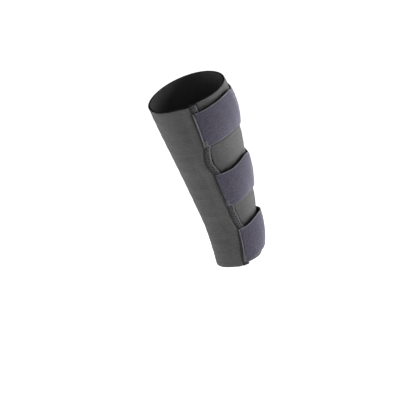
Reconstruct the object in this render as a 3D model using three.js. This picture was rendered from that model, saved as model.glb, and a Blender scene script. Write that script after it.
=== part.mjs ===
// Wrap-around calf support for a left leg, in its worn form: a neoprene sheet that overlaps
// itself beside the shin, with a bound flap edge and three hook-and-loop straps.
// Millimetres. +Z runs up the leg, the shin faces -Y and the outer side of the leg is +X.
// An azimuth is an angle round the leg: 0 at the shin, 90 at the outer side, 180 at the calf.

import * as THREE from 'three';

// Leg hollow, measured inside the neoprene
const WRAP_LENGTH = 250;        // rim to rim along the shin
const CALF_WIDTH = 97;          // side to side at the top rim
const CALF_DEPTH = 103.6;       // shin to calf at the top rim
const ANKLE_WIDTH = 54;         // side to side at the bottom rim
const ANKLE_DEPTH = 58.6;       // shin to calf at the bottom rim
const TOP_RIM_RISE = 8;         // the top rim stands this much higher at the calf
const BOTTOM_RIM_DIP = 3.5;     // the bottom rim hangs this much lower at the calf
const SHIN_PINCH = 0.07;        // share by which the section narrows towards the shin

// Neoprene sheet
const NEOPRENE = 3.5;           // wall
const BOUND_NEOPRENE = 2.6;     // wall pressed flat under the binding
const OVERLAP = 44;             // the inner end runs this far under the flap
const PRESS_IN = 1.8;           // the leg gives way by this much under the overlap
const LIFT_SPREAD = 34;         // the flap climbs over the inner end along this length
const SCALLOP = 5.2;            // the flap edge draws back by this much between two straps

// Binding tape
const BINDING_WIDTH = 9;
const BINDING_THICKNESS = 0.9;

// Straps and their hook tabs
const STRAP_WIDTH = 51;
const STRAP_THICKNESS = 2.0;
const CREST_AZIMUTH = 125;      // where the straps run highest, on the calf's outer side
const STRAP_CROWN = 1.8;        // the middle of a strap bulges out by this much
const STRAP_SETTLE = 34;        // a strap comes down from the flap to the calf along this length
const END_ROUNDING = 12;        // corner radius of a free end
const TOP_STRAP_INSET = 8;      // from the top rim at the shin
const BOTTOM_STRAP_INSET = 4.5; // from the bottom rim at the shin
const MIDDLE_STRAP_SHARE = 0.487; // of the way from the bottom strap to the top one
const TAB_THICKNESS = 1.2;
const TAB_LENGTH = 34;
const TAB_INSET = 4;            // from the strap's free end and both its edges

const GAP = 0.3;                // clearance between pieces that touch

// Fineness of the faceted surfaces
const WRAP_COLUMNS = 56;
const WRAP_ROWS = 25;
const STRAP_COLUMNS = 29;
const STRAP_ROWS = 8;
const TAB_COLUMNS = 6;
const TAB_ROWS = 3;

// Leg sections from the ankle up. height: share of the wrap's length. growth: from 0, the
// ankle's size, to 1, the calf's. belly: shift towards the calf, as a share of the calf's depth.
const SECTIONS = [
  { height: 0.00, growth: 0.00, belly: -0.015 },
  { height: 0.12, growth: 0.11, belly: 0.018 },
  { height: 0.25, growth: 0.22, belly: 0.034 },
  { height: 0.37, growth: 0.38, belly: 0.034 },
  { height: 0.54, growth: 0.59, belly: 0.026 },
  { height: 0.70, growth: 0.765, belly: 0.011 },
  { height: 0.86, growth: 0.95, belly: 0.00 },
  { height: 1.00, growth: 1.00, belly: -0.029 },
  { height: 1.06, growth: 0.965, belly: -0.053 },
];

// Straps from the ankle up. edge_low and edge_high: azimuth of the flap's edge at the strap's
// lower and upper side. climb_low and climb_high: how much higher each side runs at the crest.
// flare_low and flare_high: how far each side stands off the calf up to the crest.
// rise: length before the crest along which it climbs. fall and hug: lengths past the crest
// along which it comes down again and comes to lie on the calf. end: azimuth of the free end.
// scallop: share of SCALLOP by which the flap edge draws back above this strap.
const BOTTOM_STRAP = {
  name: 'bottom_strap', tab: 'bottom_hook_tab', edge_low: 84.5, edge_high: 86.5,
  climb_low: 3, climb_high: 7, flare_low: 4.4, flare_high: 5.4,
  rise: 24, fall: 40, hug: 32, end: 276, scallop: 0.3,
};
const MIDDLE_STRAP = {
  name: 'middle_strap', tab: 'middle_hook_tab', edge_low: 77.5, edge_high: 73.3,
  climb_low: 3.5, climb_high: 7.3, flare_low: 1, flare_high: 4.4,
  rise: 30, fall: 20, hug: 28, end: 286, scallop: 1,
};
const TOP_STRAP = {
  name: 'top_strap', tab: 'top_hook_tab', edge_low: 73.2, edge_high: 73.2,
  climb_low: 4, climb_high: 6.8, flare_low: 1.8, flare_high: 4.4,
  rise: 57, fall: 20, hug: 22, end: 281, scallop: 0,
};
BOTTOM_STRAP.centre = BOTTOM_STRAP_INSET + STRAP_WIDTH / 2;
TOP_STRAP.centre = WRAP_LENGTH - TOP_STRAP_INSET - STRAP_WIDTH / 2;
MIDDLE_STRAP.centre = BOTTOM_STRAP.centre
  + MIDDLE_STRAP_SHARE * (TOP_STRAP.centre - BOTTOM_STRAP.centre);
const STRAPS = [BOTTOM_STRAP, MIDDLE_STRAP, TOP_STRAP];

const FULL_TURN = 360;
const radians = THREE.MathUtils.degToRad;
const { lerp, smoothstep } = THREE.MathUtils;

// Reads a column of a table at any height, on a smooth curve through its rows.
function along(table, column, height) {
  const last = table.length - 1;
  let row = 0;
  while (row < last - 1 && height > table[row + 1].height) row += 1;
  const slope = (i) => {
    const below = table[Math.max(i - 1, 0)];
    const above = table[Math.min(i + 1, last)];
    return (above[column] - below[column]) / (above.height - below.height);
  };
  const from = table[row];
  const to = table[row + 1];
  const span = to.height - from.height;
  const t = (height - from.height) / span;
  const startWeight = (1 + 2 * t) * (1 - t) ** 2;
  const endWeight = t * t * (3 - 2 * t);
  const startPull = t * (1 - t) ** 2 * span * slope(row);
  const endPull = t * t * (t - 1) * span * slope(row + 1);
  return startWeight * from[column] + endWeight * to[column] + startPull + endPull;
}

// Half sizes and shift of the leg's section at a height z.
function legSection(z) {
  const share = z / WRAP_LENGTH;
  const growth = along(SECTIONS, 'growth', share);
  return {
    halfWidth: lerp(ANKLE_WIDTH, CALF_WIDTH, growth) / 2,
    halfDepth: lerp(ANKLE_DEPTH, CALF_DEPTH, growth) / 2,
    shift: along(SECTIONS, 'belly', share) * CALF_DEPTH,
  };
}

// The point that lies `out` outside the leg's skin, square to the section's outline.
function legPoint(azimuth, z, out) {
  const { halfWidth, halfDepth, shift } = legSection(z);
  const turn = radians(azimuth);
  const sine = Math.sin(turn);
  const cosine = Math.cos(turn);
  const narrowing = 1 - SHIN_PINCH * cosine;
  const alongX = halfWidth * (cosine * narrowing + SHIN_PINCH * sine * sine);
  const alongY = halfDepth * sine;
  const length = Math.hypot(alongX, alongY);
  return new THREE.Vector3(
    halfWidth * sine * narrowing + out * alongY / length,
    shift - halfDepth * cosine - out * alongX / length,
    z,
  );
}

// Degrees of azimuth that a length takes up on the wrap at a height.
function degreesFor(length, z) {
  const { halfWidth, halfDepth } = legSection(z);
  return THREE.MathUtils.radToDeg(length / ((halfWidth + halfDepth) / 2 + NEOPRENE));
}

// 0 at the shin, 1 at the calf.
const backness = (azimuth) => (1 - Math.cos(radians(azimuth))) / 2;
const topRim = (azimuth) => WRAP_LENGTH + TOP_RIM_RISE * backness(azimuth);
const bottomRim = (azimuth) => -BOTTOM_RIM_DIP * backness(azimuth);

// Azimuth of the flap's edge: straight along each strap, drawn back in a scallop between two.
function flapEdge(z) {
  const top = STRAPS[STRAPS.length - 1];
  for (let i = 0; i < STRAPS.length; i += 1) {
    const strap = STRAPS[i];
    const low = strap.centre - STRAP_WIDTH / 2;
    const high = strap.centre + STRAP_WIDTH / 2;
    if (z <= high) return lerp(strap.edge_low, strap.edge_high, smoothstep(z, low, high));
    const next = STRAPS[i + 1];
    if (next && z < next.centre - STRAP_WIDTH / 2) {
      const share = (z - high) / (next.centre - STRAP_WIDTH / 2 - high);
      const bow = Math.sin(Math.PI * share) * degreesFor(SCALLOP * strap.scallop, z);
      return lerp(strap.edge_high, next.edge_low, share) - bow;
    }
  }
  return top.edge_high;
}

// Azimuth of the binding's inner edge, where the straps' sewn ends start too.
const bindingStart = (z) => flapEdge(z) - degreesFor(BINDING_WIDTH, z);

// Azimuth of the sheet's straight inner end, hidden under the flap.
function innerEnd(z) {
  const flapLine = lerp(BOTTOM_STRAP.edge_low, TOP_STRAP.edge_high, z / WRAP_LENGTH);
  return flapLine - degreesFor(OVERLAP, z);
}

// How far the inner layer, under the flap, is pressed into the leg.
function pressedIn(turned, z) {
  const edge = flapEdge(z);
  return PRESS_IN * (1 - smoothstep(turned, edge, edge + degreesFor(LIFT_SPREAD, z)));
}

// Height of the outer layer's inner face over the skin; `turned` counts on past a full turn.
const overInnerLayer = NEOPRENE + GAP - PRESS_IN;
const underBinding = overInnerLayer + BINDING_THICKNESS + GAP;

// 1 where the flap is pressed flat for its binding, fading to 0 just behind the binding.
function boundShare(turned, z) {
  const pressedFrom = FULL_TURN + bindingStart(z) - degreesFor(BINDING_WIDTH / 2, z);
  return smoothstep(turned, pressedFrom - degreesFor(BINDING_WIDTH, z), pressedFrom);
}

function sheetLift(turned, z) {
  if (turned < FULL_TURN / 2) return -pressedIn(turned, z);
  const climbEnd = FULL_TURN + innerEnd(z) - degreesFor(GAP * 4, z);
  const climbStart = climbEnd - degreesFor(LIFT_SPREAD, z);
  const climb = overInnerLayer * smoothstep(turned, climbStart, climbEnd);
  return climb + (underBinding - overInnerLayer) * boundShare(turned, z);
}

const sheetWall = (turned, z) => lerp(NEOPRENE, BOUND_NEOPRENE, boundShare(turned, z));

// A closed body between two faces, each given as a function of u and v from 0 to 1. Seen from
// outside, u runs to the right and v runs up.
function sheetBetween(columns, rows, outerFace, innerFace) {
  const positions = [];
  const faces = [];
  const perFace = (columns + 1) * (rows + 1);
  for (const face of [outerFace, innerFace]) {
    for (let row = 0; row <= rows; row += 1) {
      for (let column = 0; column <= columns; column += 1) {
        positions.push(...face(column / columns, row / rows).toArray());
      }
    }
  }
  const outer = (column, row) => row * (columns + 1) + column;
  const inner = (column, row) => perFace + outer(column, row);
  const quad = (a, b, c, d) => faces.push(a, b, c, a, c, d);
  for (let row = 0; row < rows; row += 1) {
    for (let column = 0; column < columns; column += 1) {
      const [right, up] = [column + 1, row + 1];
      quad(outer(column, row), outer(right, row), outer(right, up), outer(column, up));
      quad(inner(column, row), inner(column, up), inner(right, up), inner(right, row));
    }
  }
  for (let column = 0; column < columns; column += 1) {
    const right = column + 1;
    quad(inner(column, 0), inner(right, 0), outer(right, 0), outer(column, 0));
    quad(outer(column, rows), outer(right, rows), inner(right, rows), inner(column, rows));
  }
  for (let row = 0; row < rows; row += 1) {
    const up = row + 1;
    quad(inner(0, row), outer(0, row), outer(0, up), inner(0, up));
    quad(outer(columns, row), inner(columns, row), inner(columns, up), outer(columns, up));
  }
  const geometry = new THREE.BufferGeometry();
  geometry.setAttribute('position', new THREE.Float32BufferAttribute(positions, 3));
  geometry.setIndex(faces);
  geometry.computeVertexNormals();
  return geometry;
}

// The neoprene ends inside the binding's fold, clear of it.
const NEOPRENE_SETBACK = BINDING_THICKNESS + GAP;

function wrapGeometry() {
  const place = (u, v) => {
    // the rims depend on the azimuth and the ends on the height, so the height is found first
    const roughTurn = lerp(innerEnd(WRAP_LENGTH * v), FULL_TURN + flapEdge(WRAP_LENGTH * v), u);
    const z = lerp(bottomRim(roughTurn), topRim(roughTurn), v);
    const start = innerEnd(z);
    const end = FULL_TURN + flapEdge(z) - degreesFor(NEOPRENE_SETBACK, z);
    return { turned: lerp(start, end, u), z };
  };
  const outer = (u, v) => {
    const { turned, z } = place(u, v);
    return legPoint(turned, z, sheetLift(turned, z) + sheetWall(turned, z));
  };
  const inner = (u, v) => {
    const { turned, z } = place(u, v);
    return legPoint(turned, z, sheetLift(turned, z));
  };
  return sheetBetween(WRAP_COLUMNS, WRAP_ROWS, outer, inner);
}

// The binding is a tape folded over the flap's edge. One of its faces from the outer leg of the
// fold to the inner one. skin: depth below the tape's outer face.
// back: distance from the flap's edge towards the shin. out: height over the leg's skin.
function foldedTape(skin) {
  const low = underBinding - GAP - BINDING_THICKNESS + skin;
  const high = underBinding + BOUND_NEOPRENE + GAP + BINDING_THICKNESS - skin;
  const corner = BINDING_THICKNESS + GAP;
  const middle = (BINDING_WIDTH + corner) / 2;
  return [
    { back: BINDING_WIDTH, out: high },
    { back: middle, out: high },
    { back: corner, out: high },
    { back: skin, out: high - corner + skin },
    { back: skin, out: low + corner - skin },
    { back: corner, out: low },
    { back: middle, out: low },
    { back: BINDING_WIDTH, out: low },
  ];
}

function bindingGeometry() {
  const face = (skin) => {
    const fold = foldedTape(skin);
    return (u, v) => {
      const { back, out } = fold[Math.round(u * (fold.length - 1))];
      const roughEdge = flapEdge(WRAP_LENGTH * v);
      const z = lerp(bottomRim(roughEdge), topRim(roughEdge), v);
      return legPoint(flapEdge(z) - degreesFor(back, z), z, out);
    };
  };
  const folds = foldedTape(0).length - 1;
  return sheetBetween(folds, WRAP_ROWS, face(0), face(BINDING_THICKNESS));
}

// Height of a strap's inner face over the skin. across: 0 at its lower edge, 1 at its upper.
const onCalf = NEOPRENE + GAP;
const onBinding = underBinding + BOUND_NEOPRENE + 2 * GAP + BINDING_THICKNESS;

// Azimuths between which the hook tab lies under a strap's free end.
const tabEnd = (strap) => strap.end - degreesFor(TAB_INSET, strap.centre);
const tabStart = (strap) => tabEnd(strap) - degreesFor(TAB_LENGTH, strap.centre);

function strapLift(strap, azimuth, z, across) {
  const edge = flapEdge(z);
  const sewn = 1 - smoothstep(azimuth, edge, edge + degreesFor(STRAP_SETTLE, z));
  const fastenedFrom = tabStart(strap) - degreesFor(TAB_INSET, strap.centre);
  const settlingFrom = fastenedFrom - degreesFor(STRAP_SETTLE / 2, strap.centre);
  const fastened = smoothstep(azimuth, settlingFrom, fastenedFrom);
  const hugging = CREST_AZIMUTH + degreesFor(strap.hug, strap.centre);
  const loose = 1 - smoothstep(azimuth, CREST_AZIMUTH, hugging);
  const flare = lerp(strap.flare_low, strap.flare_high, across) * loose;
  const bulge = STRAP_CROWN * 4 * across * (1 - across);
  const crown = bulge * (1 - smoothstep(azimuth, CREST_AZIMUTH, fastenedFrom));
  const resting = onCalf + flare + crown + (TAB_THICKNESS + GAP) * fastened;
  return lerp(resting, onBinding + crown / 3, sewn);
}

// The height of a strap's point: the strap leaves its sewn end level, climbs to its crest
// beside the calf and comes down again behind it.
function strapHeight(strap, azimuth, across) {
  const climbFrom = CREST_AZIMUTH - degreesFor(strap.rise, strap.centre);
  const level = CREST_AZIMUTH + degreesFor(strap.fall, strap.centre);
  const up = smoothstep(azimuth, climbFrom, CREST_AZIMUTH);
  const down = smoothstep(azimuth, CREST_AZIMUTH, level);
  const climb = lerp(strap.climb_low, strap.climb_high, across) * (up - down);
  return strap.centre + climb + (across - 0.5) * STRAP_WIDTH;
}

// How far a rounded end is cut back at a distance from the strip's long edge.
function cutBack(distance) {
  const reach = END_ROUNDING - distance;
  if (reach <= 0) return 0;
  return END_ROUNDING - Math.sqrt(END_ROUNDING ** 2 - reach ** 2);
}

// Rows lie closer together towards a strap's edges, where its free end is rounded.
const crowdedToEdges = (share) => (1 - Math.cos(Math.PI * share)) / 2;

function strapGeometry(strap) {
  const face = (extra) => (u, v) => {
    const across = crowdedToEdges(v);
    const start = bindingStart(strapHeight(strap, strap.edge_low, across));
    const edgeDistance = Math.min(across, 1 - across) * STRAP_WIDTH;
    const end = strap.end - degreesFor(cutBack(edgeDistance), strap.centre);
    const azimuth = lerp(start, end, u);
    const z = strapHeight(strap, azimuth, across);
    return legPoint(azimuth, z, strapLift(strap, azimuth, z, across) + extra);
  };
  return sheetBetween(STRAP_COLUMNS, STRAP_ROWS, face(STRAP_THICKNESS), face(0));
}

// The hook tab lies between the strap's free end and the calf.
function tabGeometry(strap) {
  const face = (extra) => (u, v) => {
    const azimuth = lerp(tabStart(strap), tabEnd(strap), u);
    const across = lerp(TAB_INSET, STRAP_WIDTH - TAB_INSET, v) / STRAP_WIDTH;
    return legPoint(azimuth, strapHeight(strap, azimuth, across), onCalf + extra);
  };
  return sheetBetween(TAB_COLUMNS, TAB_ROWS, face(TAB_THICKNESS), face(0));
}

const NO_METAL = 0;
const GREY_NEOPRENE = 0x6a6969;
const DARK_TAPE = 0x3d3b3e;
const PURPLE_LOOP = 0x5f5c6c;
const BLACK_HOOK = 0x232325;

function piece(name, geometry, color, roughness) {
  const material = new THREE.MeshStandardMaterial({ color, roughness, metalness: NO_METAL });
  const mesh = new THREE.Mesh(geometry, material);
  mesh.name = name;
  return mesh;
}

const calfSupport = new THREE.Group();
calfSupport.add(piece('neoprene_wrap', wrapGeometry(), GREY_NEOPRENE, 0.9));
calfSupport.add(piece('edge_binding', bindingGeometry(), DARK_TAPE, 0.8));
for (const strap of STRAPS) {
  calfSupport.add(piece(strap.name, strapGeometry(strap), PURPLE_LOOP, 0.95));
  calfSupport.add(piece(strap.tab, tabGeometry(strap), BLACK_HOOK, 0.7));
}

export default calfSupport;
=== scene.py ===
# Looks of the wrap-around calf support: knit-faced neoprene, bound flap edge, brushed loop
# straps. Surfaces are worked out in millimetres, by the formulas of the solids, and made in
# metres. An azimuth is an angle round the leg: 0 at the shin, 90 at the outer side, 180 at the
# calf. Where a sheet winds on past the shin, its azimuth counts on past a full turn.

import math
from dataclasses import dataclass

import bpy
import numpy as np
from mathutils import Matrix, Vector


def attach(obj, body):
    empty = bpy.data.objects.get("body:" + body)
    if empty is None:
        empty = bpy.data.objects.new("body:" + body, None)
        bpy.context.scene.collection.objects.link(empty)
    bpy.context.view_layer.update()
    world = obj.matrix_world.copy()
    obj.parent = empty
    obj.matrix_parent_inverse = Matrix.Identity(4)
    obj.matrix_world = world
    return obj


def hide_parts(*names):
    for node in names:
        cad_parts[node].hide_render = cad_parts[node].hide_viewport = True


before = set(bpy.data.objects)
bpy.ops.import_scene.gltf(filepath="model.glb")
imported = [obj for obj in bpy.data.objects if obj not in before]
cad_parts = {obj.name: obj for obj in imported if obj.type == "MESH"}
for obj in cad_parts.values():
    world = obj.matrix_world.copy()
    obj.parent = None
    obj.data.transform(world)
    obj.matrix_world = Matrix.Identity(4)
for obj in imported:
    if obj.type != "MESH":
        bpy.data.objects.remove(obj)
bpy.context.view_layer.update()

MM = 0.001
FULL_TURN = 360.0
RNG = np.random.default_rng(7)

# Leg hollow, measured inside the neoprene
WRAP_LENGTH = 250.0  # rim to rim along the shin
CALF_WIDTH = 97.0  # side to side at the top rim
CALF_DEPTH = 103.6  # shin to calf at the top rim
ANKLE_WIDTH = 54.0  # side to side at the bottom rim
ANKLE_DEPTH = 58.6  # shin to calf at the bottom rim
TOP_RIM_RISE = 8.0  # the top rim stands this much higher at the calf
BOTTOM_RIM_DIP = 3.5  # the bottom rim hangs this much lower at the calf
SHIN_PINCH = 0.07  # share by which the section narrows towards the shin

# Neoprene sheet
NEOPRENE = 3.5  # wall
BOUND_NEOPRENE = 2.6  # wall pressed flat under the binding
OVERLAP = 44.0  # the inner end runs this far under the flap
PRESS_IN = 1.8  # the leg gives way by this much under the overlap
LIFT_SPREAD = 34.0  # the flap climbs over the inner end along this length
SCALLOP = 5.2  # the flap edge draws back by this much between two straps

# Binding tape
BINDING_WIDTH = 9.0
BINDING_THICKNESS = 0.9

# Straps and their hook tabs
STRAP_WIDTH = 51.0
STRAP_THICKNESS = 2.0
CREST_AZIMUTH = 125.0  # where the straps run highest, on the calf's outer side
STRAP_CROWN = 1.8  # the middle of a strap bulges out by this much
STRAP_SETTLE = 34.0  # a strap comes down from the flap to the calf along this length
END_ROUNDING = 12.0  # corner radius of a free end
TOP_STRAP_INSET = 8.0  # from the top rim at the shin
BOTTOM_STRAP_INSET = 4.5  # from the bottom rim at the shin
MIDDLE_STRAP_SHARE = 0.487  # of the way from the bottom strap to the top one
TAB_THICKNESS = 1.2
TAB_LENGTH = 34.0
TAB_INSET = 4.0  # from the strap's free end and both its edges

GAP = 0.3  # clearance between pieces that touch

# Leg sections from the ankle up: height as a share of the wrap's length, growth from the
# ankle's size to the calf's, shift towards the calf as a share of the calf's depth
HEIGHT, GROWTH, BELLY = 0, 1, 2
SECTIONS = np.array([
    (0.00, 0.00, -0.015),
    (0.12, 0.11, 0.018),
    (0.25, 0.22, 0.034),
    (0.37, 0.38, 0.034),
    (0.54, 0.59, 0.026),
    (0.70, 0.765, 0.011),
    (0.86, 0.95, 0.00),
    (1.00, 1.00, -0.029),
    (1.06, 0.965, -0.053),
])


# What a strap's faces show, in the order of the materials in strap_piece
NAP, PALE, DARK, BACK, SIDE, SHADED_SELVEDGE = range(6)


@dataclass
class Strap:
    """Lengths in millimetres and azimuths in degrees. low and high are a strap's two sides."""

    name: str
    edge_low: float  # azimuth of the flap's edge
    edge_high: float
    climb_low: float  # how much higher this side runs at the crest
    climb_high: float
    flare_low: float  # how far this side stands off the calf up to the crest
    flare_high: float
    rise: float  # length before the crest along which the strap climbs
    fall: float  # length past the crest along which it comes down again
    hug: float  # length past the crest along which it comes to lie on the calf
    end: float  # azimuth of the free end
    scallop: float  # share of SCALLOP by which the flap edge draws back above it
    # shade and shadow set the painted shade on the cloth under the strap and below its lower edge.
    # shade also sets how deep the strap's upper edge sinks in.
    shade: float  # how dark the cloth under it is, up to 1
    shadow: float  # how far the dark reaches below its lower edge
    bands: list  # across the sewn end: where each begins, its depth, what it shows
    seam_slant: float = 0.0  # how much further from the end the bands lie at the lower side
    centre: float = 0.0  # height of its middle line


BOTTOM = Strap(
    name="bottom", edge_low=84.5, edge_high=86.5, climb_low=3, climb_high=7,
    flare_low=4.4, flare_high=5.4, rise=24, fall=40, hug=32, end=276, scallop=0.3,
    shade=0.5, shadow=7.4, seam_slant=2.0,
    bands=[(0.0, 1.2, DARK), (0.8, 0.1, PALE), (2.3, 0.5, DARK), (3.1, 0.0, NAP)],
)
MIDDLE = Strap(
    name="middle", edge_low=77.5, edge_high=73.3, climb_low=3.5, climb_high=7.3,
    flare_low=1, flare_high=4.4, rise=30, fall=20, hug=28, end=286, scallop=1,
    shade=0.8, shadow=1.0,
    bands=[(0.0, 1.3, DARK), (1.9, 0.0, NAP), (3.3, 0.15, NAP)],
)
TOP = Strap(
    name="top", edge_low=73.2, edge_high=73.2, climb_low=4, climb_high=6.8,
    flare_low=1.8, flare_high=4.4, rise=57, fall=20, hug=22, end=281, scallop=0,
    shade=0.6, shadow=5.6,
    bands=[(0.0, 0.2, PALE), (1.8, 0.7, DARK), (2.5, 0.3, NAP), (3.6, 0.0, NAP)],
)
BOTTOM.centre = BOTTOM_STRAP_INSET + STRAP_WIDTH / 2
TOP.centre = WRAP_LENGTH - TOP_STRAP_INSET - STRAP_WIDTH / 2
MIDDLE.centre = BOTTOM.centre + MIDDLE_STRAP_SHARE * (TOP.centre - BOTTOM.centre)
STRAPS = [BOTTOM, MIDDLE, TOP]


def lerp(a, b, share):
    return a + (b - a) * share


def smoothstep(x, low, high):
    share = np.clip((x - low) / (high - low), 0, 1)
    return share * share * (3 - 2 * share)


def plateau(x, *corners):
    """Rises from 0 to 1 between the first two corners and falls again between the last two."""
    low, high, high_end, low_end = corners
    return smoothstep(x, low, high) * (1 - smoothstep(x, high_end, low_end))


def bump(x, centre, width):
    """1 at the centre, falling smoothly to 0 at the width on both sides."""
    share = np.clip(np.abs(x - centre) / width, 0, 1)
    return (1 - share * share) ** 2


# The leg's skin and the sheet wound round it

def along(column, share):
    """A column of SECTIONS at a height share, on a smooth curve through its rows."""
    heights, values = SECTIONS[:, HEIGHT], SECTIONS[:, column]
    last = len(heights) - 1
    below = np.maximum(np.arange(last + 1) - 1, 0)
    above = np.minimum(np.arange(last + 1) + 1, last)
    slopes = (values[above] - values[below]) / (heights[above] - heights[below])
    row = np.clip(np.searchsorted(heights, share, side="left") - 1, 0, last - 1)
    span = heights[row + 1] - heights[row]
    t = (share - heights[row]) / span
    start = (1 + 2 * t) * (1 - t) ** 2 * values[row] + t * (1 - t) ** 2 * span * slopes[row]
    end = t * t * (3 - 2 * t) * values[row + 1] + t * t * (t - 1) * span * slopes[row + 1]
    return start + end


def leg_section(z):
    """Half sizes and shift of the leg's section at a height z."""
    share = np.asarray(z, float) / WRAP_LENGTH
    growth = along(GROWTH, share)
    half_width = lerp(ANKLE_WIDTH, CALF_WIDTH, growth) / 2
    half_depth = lerp(ANKLE_DEPTH, CALF_DEPTH, growth) / 2
    return half_width, half_depth, along(BELLY, share) * CALF_DEPTH


def leg_frame(azimuth, z):
    """The skin's point and its level outward direction."""
    half_width, half_depth, shift = leg_section(z)
    turn = np.radians(azimuth)
    sine, cosine = np.sin(turn), np.cos(turn)
    narrowing = 1 - SHIN_PINCH * cosine
    along_x = half_width * (cosine * narrowing + SHIN_PINCH * sine * sine)
    along_y = half_depth * sine
    length = np.hypot(along_x, along_y)
    skin = np.stack([half_width * sine * narrowing, shift - half_depth * cosine, z + 0 * turn], -1)
    outward = np.stack([along_y / length, -along_x / length, 0 * length], -1)
    return skin, outward


def leg_point(azimuth, z, out):
    """The point that lies `out` outside the skin."""
    skin, outward = leg_frame(azimuth, z)
    return skin + outward * np.asarray(out)[..., None]


def surface_normals(azimuth, z):
    return leg_frame(azimuth, z)[1]


def degrees_for(length, z):
    """Degrees of azimuth that a length takes up on the wrap at a height."""
    half_width, half_depth, _ = leg_section(z)
    return np.degrees(length / ((half_width + half_depth) / 2 + NEOPRENE))


def backness(azimuth):
    """0 at the shin, 1 at the calf."""
    return (1 - np.cos(np.radians(azimuth))) / 2


def top_rim(azimuth):
    return WRAP_LENGTH + TOP_RIM_RISE * backness(azimuth)


def bottom_rim(azimuth):
    return -BOTTOM_RIM_DIP * backness(azimuth)


def flap_edge(z):
    """Azimuth of the flap's edge: straight along each strap, drawn back in a scallop between
    two."""
    z = np.asarray(z, float)
    edge = np.full(z.shape, float(TOP.edge_high))
    for strap, above in reversed(list(zip(STRAPS, STRAPS[1:] + [None]))):
        low, high = strap.centre - STRAP_WIDTH / 2, strap.centre + STRAP_WIDTH / 2
        if above:
            next_low = above.centre - STRAP_WIDTH / 2
            share = (z - high) / (next_low - high)
            bow = np.sin(np.pi * share) * degrees_for(SCALLOP * strap.scallop, z)
            edge = np.where(z < next_low, lerp(strap.edge_high, above.edge_low, share) - bow, edge)
        on_strap = lerp(strap.edge_low, strap.edge_high, smoothstep(z, low, high))
        edge = np.where(z <= high, on_strap, edge)
    return edge


def binding_start(z):
    """Azimuth of the binding's inner edge, where the straps' sewn ends start too."""
    return flap_edge(z) - degrees_for(BINDING_WIDTH, z)


def beside_binding(turned, z):
    """Distance back from the binding on the flap's outer face."""
    return (FULL_TURN + binding_start(z) - turned) / degrees_for(1.0, z)


def inner_end(z):
    """Azimuth of the sheet's straight inner end, hidden under the flap."""
    flap_line = lerp(BOTTOM.edge_low, TOP.edge_high, np.asarray(z, float) / WRAP_LENGTH)
    return flap_line - degrees_for(OVERLAP, z)


# Heights over the skin of the layers, from the flap outwards
OVER_INNER_LAYER = NEOPRENE + GAP - PRESS_IN
UNDER_BINDING = OVER_INNER_LAYER + BINDING_THICKNESS + GAP
BINDING_TOP = UNDER_BINDING + BOUND_NEOPRENE + GAP + BINDING_THICKNESS
ON_BINDING = BINDING_TOP + GAP
ON_CALF = NEOPRENE + GAP


def bound_share(turned, z):
    """1 where the flap is pressed flat for its binding, fading to 0 just behind it."""
    pressed_from = FULL_TURN + binding_start(z) - degrees_for(BINDING_WIDTH / 2, z)
    return smoothstep(turned, pressed_from - degrees_for(BINDING_WIDTH, z), pressed_from)


def sheet_lift(turned, z):
    """Height of the sheet's inner face over the skin, below 0 under the flap."""
    edge = flap_edge(z)
    pressed = -PRESS_IN * (1 - smoothstep(turned, edge, edge + degrees_for(LIFT_SPREAD, z)))
    climb_end = FULL_TURN + inner_end(z) - degrees_for(GAP * 4, z)
    climb_start = climb_end - degrees_for(LIFT_SPREAD, z)
    climb = OVER_INNER_LAYER * smoothstep(turned, climb_start, climb_end)
    climb = climb + (UNDER_BINDING - OVER_INNER_LAYER) * bound_share(turned, z)
    return np.where(turned < FULL_TURN / 2, pressed, climb)


def sheet_wall(turned, z):
    return lerp(NEOPRENE, BOUND_NEOPRENE, bound_share(turned, z))


# Meshes from grids

def add_object(name, vertices, faces, materials):
    """A smooth mesh from points in millimetres."""
    mesh = bpy.data.meshes.new(name)
    mesh.from_pydata((vertices * MM).tolist(), [], faces)
    for material in materials:
        mesh.materials.append(material)
    mesh.polygons.foreach_set("use_smooth", np.ones(len(mesh.polygons), bool))
    piece = bpy.data.objects.new(name, mesh)
    bpy.context.scene.collection.objects.link(piece)
    return piece


def edge_steps(length, step, rounding):
    """Distances along a side of the sheet, close together where its edges are rounded."""
    near = rounding * np.array([0, 0.12, 0.35, 0.65, 1.0])
    count = max(2, int(round((length - 2 * rounding) / step)))
    middle = np.linspace(rounding, length - rounding, count + 1)
    return np.concatenate([near, middle[1:-1], (length - near)[::-1]])


def edge_drop(distance, rounding):
    """How far a rounded edge falls away at a distance from it."""
    reach = np.clip(rounding - distance, 0, rounding)
    return rounding - np.sqrt(rounding ** 2 - reach ** 2)


def arc_lengths(points):
    """Length from the first point of each row up to every point."""
    steps = np.linalg.norm(np.diff(points, axis=1), axis=2)
    return np.concatenate([np.zeros((len(points), 1)), np.cumsum(steps, axis=1)], axis=1)


def quad_middles(grid):
    """A grid's values at the middles of its quads."""
    return (grid[1:, 1:] + grid[:-1, :-1]) / 2


def sheet_cut(surface):
    """Width, length and area in metres of the flat cut from which a grid was bent."""
    widths = arc_lengths(surface)[:, -1]
    heights = arc_lengths(surface.swapaxes(0, 1))[:, -1]
    steps = np.linalg.norm(np.diff(surface, axis=0), axis=2).mean(axis=1)
    area = ((widths[1:] + widths[:-1]) / 2 * steps).sum()
    return float(widths.max()) * MM, float(heights.max()) * MM, float(area) * MM * MM


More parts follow.
